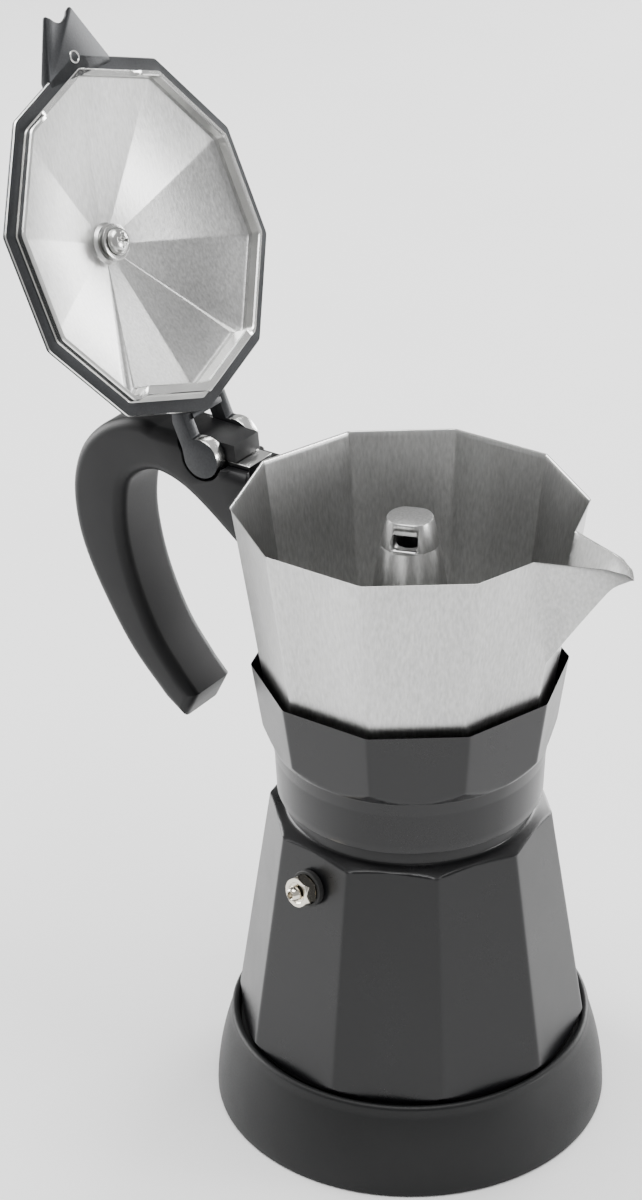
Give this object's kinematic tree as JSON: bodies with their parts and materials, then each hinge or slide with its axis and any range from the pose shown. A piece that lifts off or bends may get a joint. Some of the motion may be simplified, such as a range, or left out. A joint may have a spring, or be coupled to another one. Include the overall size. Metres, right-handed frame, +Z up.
{
  "type": "moka pot",
  "caption": "Cordless electric moka pot: ten-sided aluminium boiler on a plastic foot, screwed-on spouted collector with handle, hinged lid held open.",
  "frame": {"origin": "on the pot's upright axis, in the plane that the foot stands on, where the coupler's centre pin ends", "axes": "+Z up, +X towards the pouring spout, -X towards the handle, +Y completes a right-handed frame"},
  "size_m": [0.19, 0.1116, 0.3009],
  "materials": {
    "painted_aluminium": "dark grey metallic paint, satin, on cast aluminium; bare aluminium inside",
    "bare_aluminium": "bare satin aluminium",
    "black_plastic": "black moulded plastic, fine matte texture",
    "steel": "zinc-plated steel",
    "nickel": "nickel-plated brass",
    "brass": "plain brass",
    "seal_rubber": "white silicone rubber",
    "fuse_sleeve": "woven glass-fibre sleeve",
    "dark_seal": "dark fibre and rubber",
    "brown_wire": "brown heat-resistant insulation",
    "blue_wire": "blue heat-resistant insulation",
    "green_wire": "green and yellow heat-resistant insulation"
  },
  "bodies": {
    "boiler_body": {"boiler": "painted_aluminium", "foot": "black_plastic", "foot_cover": "black_plastic", "foot_screw_1": "steel", "foot_screw_2": "steel", "foot_screw_3": "steel", "cover_screw_1": "steel", "cover_screw_2": "steel", "cover_screw_3": "steel", "coupler": "black_plastic", "coupler_pin": "brass", "coupler_inner_ring": "brass", "coupler_outer_ring": "brass", "coupler_screw_1": "steel", "coupler_screw_2": "steel", "heating_plate": "bare_aluminium", "heating_element": "steel", "thermostat": "steel", "thermal_fuse": "fuse_sleeve", "lead_live": "brown_wire", "lead_fuse": "brown_wire", "lead_neutral": "blue_wire", "lead_earth": "green_wire", "funnel": "bare_aluminium", "funnel_sieve": "bare_aluminium", "valve_body": "nickel", "valve_seal": "dark_seal", "valve_spring": "steel"},
    "seal_carrier": {"seal_ring": "seal_rubber", "filter_plate": "bare_aluminium"},
    "collector_body": {"collector": "painted_aluminium", "handle": "black_plastic", "handle_screw": "steel", "hinge_pin": "steel"},
    "lid_body": {"lid": "painted_aluminium", "lid_knob": "black_plastic", "knob_screw": "steel", "knob_washer": "steel", "knob_lock_washer": "steel"},
    "valve_stem_body": {"valve_stem": "nickel"}
  },
  "joints": [
    {"name": "collector_lift", "type": "slide", "parent": "boiler_body", "child": "seal_carrier", "axis": [0, 0, 1], "range_m": [0, 0.009]},
    {"name": "collector_turn", "type": "hinge", "parent": "seal_carrier", "child": "collector_body", "pos_m": [0, 0, 0.1], "axis": [0, 0, 1], "range_deg": [0, 1080]},
    {"name": "lid_hinge", "type": "hinge", "parent": "collector_body", "child": "lid_body", "pos_m": [-0.06145, 0, 0.18671], "axis": [0, 1, 0], "range_deg": [0, 113.57]},
    {"name": "valve_lift", "type": "slide", "parent": "boiler_body", "child": "valve_stem_body", "axis": [-0.1774, -0.9732, 0.1462], "range_m": [0, 0.0015], "stiffness_N_per_m": 800, "springref_m": -0.001, "deforming": ["valve_spring"]}
  ],
  "couplings": [
    {"joint": "collector_turn", "follows": "collector_lift", "rad_per_m": 2094.4}
  ]
}
